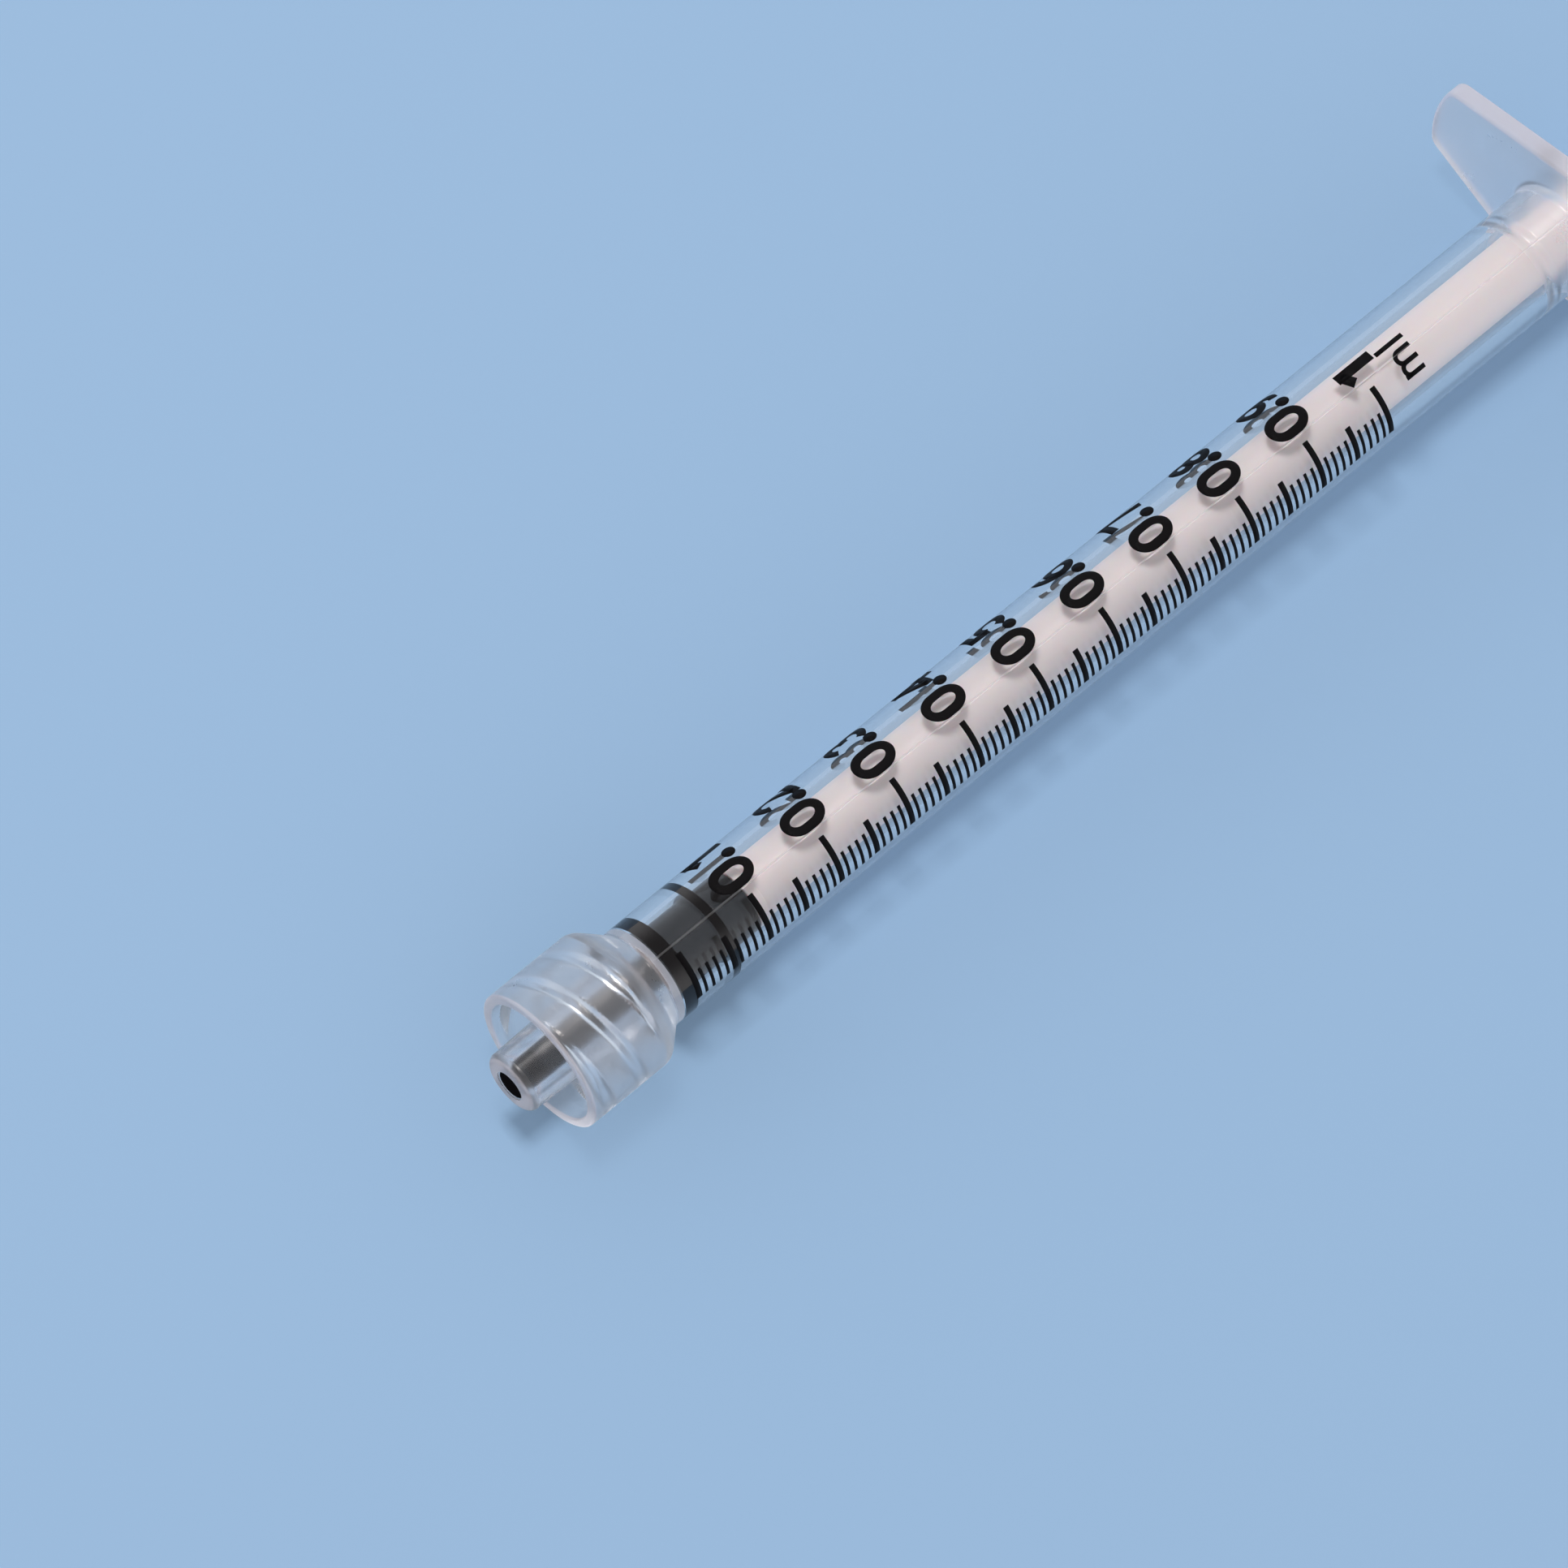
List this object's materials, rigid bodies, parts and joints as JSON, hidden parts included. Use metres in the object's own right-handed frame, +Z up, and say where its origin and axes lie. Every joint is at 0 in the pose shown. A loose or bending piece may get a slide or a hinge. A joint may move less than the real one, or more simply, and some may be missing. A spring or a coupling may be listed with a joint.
{
  "type": "luer lock syringe",
  "caption": "Luer lock syringe with a clear barrel, tapered nozzle inside a lock collar, winged finger flange, rubber gasket and sliding plunger rod.",
  "frame": {"origin": "centre of the nozzle's tip, on the axis of the barrel", "axes": "+X along the barrel from the nozzle tip to the thumb rest, Y along the wings of the finger flange, +Z up through the middle of the printed scale"},
  "size_m": [0.096, 0.021, 0.012],
  "materials": {
    "clear_polypropylene": "clear, faintly frosted moulding",
    "black_rubber": "smooth lubricated rubber",
    "white_polypropylene": "satin moulding",
    "black_ink": "printed ink"
  },
  "bodies": {
    "barrel": {"luer_nozzle": "clear_polypropylene", "lock_collar": "clear_polypropylene", "barrel_tube": "clear_polypropylene", "finger_flange": "clear_polypropylene"},
    "gasket": {"gasket": "black_rubber"},
    "plunger": {"plunger_rod": "white_polypropylene", "thumb_rest": "white_polypropylene"}
  },
  "joints": [
    {"name": "plunger_slide", "type": "slide", "parent": "barrel", "child": "gasket", "axis": [1, 0, 0], "range_m": [0, 0.0655]},
    {"name": "rod_spin", "type": "hinge", "parent": "gasket", "child": "plunger", "pos_m": [0.01742, 0, 0], "axis": [1, 0, 0], "continuous": true}
  ]
}
